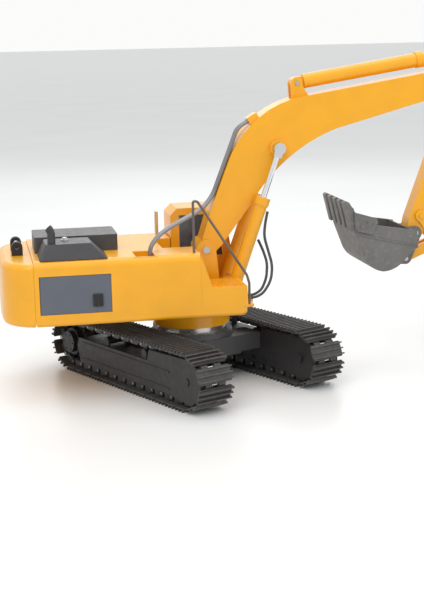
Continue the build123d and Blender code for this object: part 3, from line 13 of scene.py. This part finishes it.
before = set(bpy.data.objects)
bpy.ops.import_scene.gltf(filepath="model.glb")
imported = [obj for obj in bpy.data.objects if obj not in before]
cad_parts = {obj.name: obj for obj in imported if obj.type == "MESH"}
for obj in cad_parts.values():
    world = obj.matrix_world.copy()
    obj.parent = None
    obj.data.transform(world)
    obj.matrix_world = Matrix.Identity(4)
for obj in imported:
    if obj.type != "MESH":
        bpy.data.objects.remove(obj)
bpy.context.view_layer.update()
BELLY_HEIGHT = 29.0


def at(x, y, height):
    """A point in metres from millimetres, with its height above the ground."""
    return Vector((x, y, height - BELLY_HEIGHT)) / 1000


# %% [markdown]
# ## Camera, floor and light
# The model is seen from its right and a little from above, through a long lens, so that its
# lines stay nearly parallel. It stands on a pale sweep under broad soft lamps.

# %% Camera
scene = bpy.context.scene
scene.view_settings.view_transform = "Standard"
CAMERA_YAW, CAMERA_PITCH, CAMERA_ROLL = 0.18579, 0.20523, -0.02110
bpy.ops.object.camera_add(location=at(-234.88, -1429.43, 387.29))
camera = bpy.context.object
heading = Vector((sin(CAMERA_YAW), cos(CAMERA_YAW), 0))
forward = heading * cos(CAMERA_PITCH) - Vector((0, 0, sin(CAMERA_PITCH)))
level_right = Vector((cos(CAMERA_YAW), -sin(CAMERA_YAW), 0))
level_up = level_right.cross(forward)
right = level_right * cos(CAMERA_ROLL) + level_up * sin(CAMERA_ROLL)
upward = level_up * cos(CAMERA_ROLL) - level_right * sin(CAMERA_ROLL)
camera.rotation_euler = Matrix((right, upward, -forward)).transposed().to_euler()
camera.data.lens = 78.2
camera.data.shift_x = -0.01375
camera.data.shift_y = 0.00135
camera.data.clip_start, camera.data.clip_end = 0.05, 60
scene.camera = camera
print("camera", tuple(round(v, 3) for v in camera.location))


# %% Node helpers
def linear(red, green, blue):
    """A colour as shown on a screen, 0 to 255, as the light it stands for."""
    return tuple((c / 255 / 12.92) if c <= 10 else ((c / 255 + 0.055) / 1.055) ** 2.4 for c in (red, green, blue))


def new_material(name):
    material = bpy.data.materials.new(name)
    material.use_nodes = True
    tree = material.node_tree
    shader = tree.nodes["Principled BSDF"]
    return material, tree, shader


def add_noise(tree, scale, detail=4.0, stretch=(1, 1, 1)):
    """Noise on Object coordinates, so that a pattern has a size in metres."""
    place = tree.nodes.new("ShaderNodeTexCoord")
    mapping = tree.nodes.new("ShaderNodeMapping")
    mapping.inputs["Scale"].default_value = stretch
    noise = tree.nodes.new("ShaderNodeTexNoise")
    noise.inputs["Scale"].default_value = scale
    noise.inputs["Detail"].default_value = detail
    tree.links.new(place.outputs["Object"], mapping.inputs["Vector"])
    tree.links.new(mapping.outputs["Vector"], noise.inputs["Vector"])
    return noise.outputs["Fac"]


def add_range(tree, value, low, high, out_low, out_high):
    node = tree.nodes.new("ShaderNodeMapRange")
    for number, setting in ((1, low), (2, high), (3, out_low), (4, out_high)):
        node.inputs[number].default_value = setting
    tree.links.new(value, node.inputs[0])
    return node.outputs[0]


def add_mix(tree, factor, first, second):
    """Mixes two colours, each a tuple or another node's output."""
    node = tree.nodes.new("ShaderNodeMix")
    node.data_type = "RGBA"
    tree.links.new(factor, node.inputs[0])
    for socket, colour in ((node.inputs[6], first), (node.inputs[7], second)):
        if isinstance(colour, tuple):
            socket.default_value = (*colour, 1)
        else:
            tree.links.new(colour, socket)
    return node.outputs[2]


def add_bump(tree, shader, height, strength, distance):
    node = tree.nodes.new("ShaderNodeBump")
    node.inputs["Strength"].default_value = strength
    node.inputs["Distance"].default_value = distance
    tree.links.new(height, node.inputs["Height"])
    tree.links.new(node.outputs["Normal"], shader.inputs["Normal"])


def moulded(name, colour, roughness, mottle=0.06, grain=2200.0, relief=0.08, coat=0.0, metallic=0.0, dust=None):
    """A moulded or painted surface: faint mottle, uneven sheen, fine grain and, if wanted, dust."""
    material, tree, shader = new_material(name)
    dark = tuple(c * (1 - mottle) for c in colour)
    light = tuple(min(1.0, c * (1 + mottle)) for c in colour)
    cloud = add_range(tree, add_noise(tree, 38.0), 0.35, 0.65, 0, 1)
    shade = add_mix(tree, cloud, dark, light)
    if dust:
        specks = add_range(tree, add_noise(tree, 260.0, 6.0), 0.52, 0.74, 0, 0.75)
        shade = add_mix(tree, specks, shade, dust)
    tree.links.new(shade, shader.inputs["Base Color"])
    uneven = add_range(tree, add_noise(tree, 150.0), 0.3, 0.7, roughness * 0.85, min(1, roughness * 1.15))
    tree.links.new(uneven, shader.inputs["Roughness"])
    shader.inputs["Metallic"].default_value = metallic
    shader.inputs["Coat Weight"].default_value = coat
    shader.inputs["Coat Roughness"].default_value = 0.12
    add_bump(tree, shader, add_noise(tree, grain, 2.0), relief, 0.0002)
    return material


# %% [markdown]
# The floor is a pale sheet with a faint polish. Rays that come straight from the lens see it
# a little lighter than it is, so it stays pale without more light on the model, and it still
# takes the model's shadow.

# %% Floor, backdrop and lamps
bpy.ops.mesh.primitive_plane_add(size=40, location=(0, 8, -BELLY_HEIGHT / 1000 - 0.0002))
floor = bpy.context.object
floor.name = "studio_floor"
floor_paper, tree, shader = new_material("pale_floor")
paper = add_range(tree, add_noise(tree, 3.0), 0.3, 0.7, 0, 1)
tree.links.new(add_mix(tree, paper, linear(238, 238, 236), linear(243, 243, 241)), shader.inputs["Base Color"])
shader.inputs["Roughness"].default_value = 0.30
shader.inputs["Specular IOR Level"].default_value = 0.35
floor.data.materials.append(floor_paper)

world = bpy.data.worlds.new("studio_air")
scene.world = world
world.use_nodes = True
air = world.node_tree
background = air.nodes["Background"]
background.inputs["Color"].default_value = (0.93, 0.965, 1.0, 1)
background.inputs["Strength"].default_value = 0.62
seen = air.nodes.new("ShaderNodeBackground")
seen.inputs["Color"].default_value = (1.0, 0.998, 0.992, 1)
seen.inputs["Strength"].default_value = 0.97
light_path = air.nodes.new("ShaderNodeLightPath")
seen_or_mirrored = air.nodes.new("ShaderNodeMath")
seen_or_mirrored.operation = "MAXIMUM"
air.links.new(light_path.outputs["Is Camera Ray"], seen_or_mirrored.inputs[0])
air.links.new(light_path.outputs["Is Glossy Ray"], seen_or_mirrored.inputs[1])
choose = air.nodes.new("ShaderNodeMixShader")
air.links.new(seen_or_mirrored.outputs[0], choose.inputs[0])
air.links.new(background.outputs[0], choose.inputs[1])
air.links.new(seen.outputs[0], choose.inputs[2])
air.links.new(choose.outputs[0], air.nodes["World Output"].inputs["Surface"])

for name, where, size, watts in (
    ("key_lamp", (-0.9, -1.5, 1.9), 1.6, 23),
    ("fill_lamp", (1.6, -1.2, 1.0), 1.4, 8),
    ("top_lamp", (0.1, 0.2, 2.2), 2.0, 19),
    ("back_lamp", (0.3, 1.8, 1.3), 1.4, 7),
):
    bpy.ops.object.light_add(type="AREA", location=where)
    lamp = bpy.context.object
    lamp.name = name
    lamp.data.size = size
    lamp.data.energy = watts
    lamp.rotation_euler = (Vector((0.05, 0, 0.05)) - Vector(where)).to_track_quat("-Z", "Y").to_euler()

# %% [markdown]
# ## Finishes
# The real model is moulded in a warm yellow with a light gloss. Its undercarriage is near
# black, its bucket a speckled grey, and pins and rods are bright metal. Each finish is a
# node material with its own mottle, sheen and grain, so that no surface is one flat colour.

# %% Finishes
YELLOW = linear(240, 168, 12)
yellow = moulded("yellow_gloss", YELLOW, 0.34, mottle=0.03, relief=0.03, coat=0.25)
track_black = moulded("track_black", linear(38, 37, 38), 0.52, mottle=0.10, relief=0.10)
pad_dark = moulded("pad_worn", linear(64, 62, 61), 0.50, mottle=0.14, relief=0.22, dust=linear(88, 85, 82))
frame_grey = moulded("frame_grey", linear(72, 72, 74), 0.48, mottle=0.06, relief=0.10)
hood_dark = moulded("hood_dark", linear(66, 65, 68), 0.44, mottle=0.08, relief=0.10)
rim_black = moulded("rim_black", linear(30, 29, 30), 0.50, mottle=0.10, relief=0.10)
panel_grey = moulded("panel_grey", linear(92, 96, 106), 0.42, mottle=0.03, relief=0.02)
bucket_grey = moulded("bucket_grey", linear(108, 106, 103), 0.50, mottle=0.09, relief=0.28, metallic=0.25,
                      dust=linear(128, 126, 122))
pin_steel = moulded("pin_steel", linear(186, 184, 180), 0.28, mottle=0.08, relief=0.06, metallic=0.9)
rod_chrome = moulded("rod_chrome", linear(222, 224, 228), 0.12, mottle=0.02, relief=0.02, metallic=1.0)
hose_dark = moulded("hose_dark", linear(52, 51, 54), 0.42, mottle=0.10, relief=0.10)
hose_grey = moulded("hose_grey", linear(124, 122, 124), 0.30, mottle=0.08, relief=0.06, coat=0.2)
rail_brown = moulded("rail_dark", linear(96, 86, 78), 0.36, mottle=0.08, relief=0.05, coat=0.15)
seat_black = moulded("seat_black", linear(34, 33, 36), 0.70, mottle=0.12, relief=0.35)
board_green = moulded("board_green", linear(30, 96, 52), 0.45, mottle=0.08, relief=0.10)
cell_blue = moulded("cell_wrap", linear(34, 62, 118), 0.30, mottle=0.05, relief=0.04)
mirror_tan = moulded("mirror_tan", linear(206, 176, 118), 0.20, mottle=0.04, relief=0.02, metallic=0.4)
cap_silver = moulded("cap_silver", linear(204, 204, 200), 0.30, mottle=0.06, relief=0.05, metallic=0.6)

cab_tint, tree, shader = new_material("cab_tint")
smear = add_range(tree, add_noise(tree, 60.0), 0.35, 0.65, 0, 1)
tree.links.new(add_mix(tree, smear, linear(58, 62, 72), linear(74, 78, 88)), shader.inputs["Base Color"])
tree.links.new(add_range(tree, add_noise(tree, 200.0), 0.3, 0.7, 0.06, 0.12), shader.inputs["Roughness"])
shader.inputs["Alpha"].default_value = 0.62
shader.inputs["Coat Weight"].default_value = 0.4

NODE_FINISH = {
    "centre_frame": frame_grey, "belly_plate": frame_grey, "slew_ring": pin_steel, "track_pins": pin_steel,
    "final_drives": track_black, "bottom_rollers": track_black, "turntable": yellow, "house_floor": yellow,
    "house_pins": pin_steel, "swing_motor": pin_steel, "body_shell": yellow, "counterweight": yellow,
    "lifting_lugs": rim_black, "air_cleaner_cover": hood_dark, "engine_hood": hood_dark,
    "exhaust_pipe": hose_dark, "filler_cap": cap_silver, "toolbox": yellow, "handrail": rail_brown,
    "cab_shell": yellow, "cab_glass": cab_tint, "driver_seat": seat_black, "cab_mirror": mirror_tan,
    "battery_pack": cell_blue, "control_board": board_green, "swing_pinion": pin_steel, "boom": yellow,
    "boom_pins": pin_steel, "boom_hoses": hose_grey, "ram_hoses": hose_dark, "boom_ram_barrels": yellow,
    "boom_ram_rods": rod_chrome, "stick": yellow, "stick_pins": pin_steel, "stick_ram_barrel": yellow,
    "stick_ram_rod": rod_chrome, "bucket": bucket_grey, "bucket_pins": pin_steel, "bucket_teeth": bucket_grey,
    "side_cutters": bucket_grey, "rocker": yellow, "bucket_link": yellow,
    "bucket_ram_barrel": yellow, "bucket_ram_rod": rod_chrome, "battery_door": panel_grey,
    "door_latch": rim_black,
}
for hand in ("left", "right"):
    NODE_FINISH[f"track_links_{hand}"] = pad_dark
    for part in ("track_frame", "track_guard", "idler", "sprocket", "carrier_roller_front", "carrier_roller_rear"):
        NODE_FINISH[f"{part}_{hand}"] = track_black
for name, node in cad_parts.items():
    node.data.materials.clear()
    node.data.materials.append(NODE_FINISH[name])
print("finished nodes", len(NODE_FINISH))
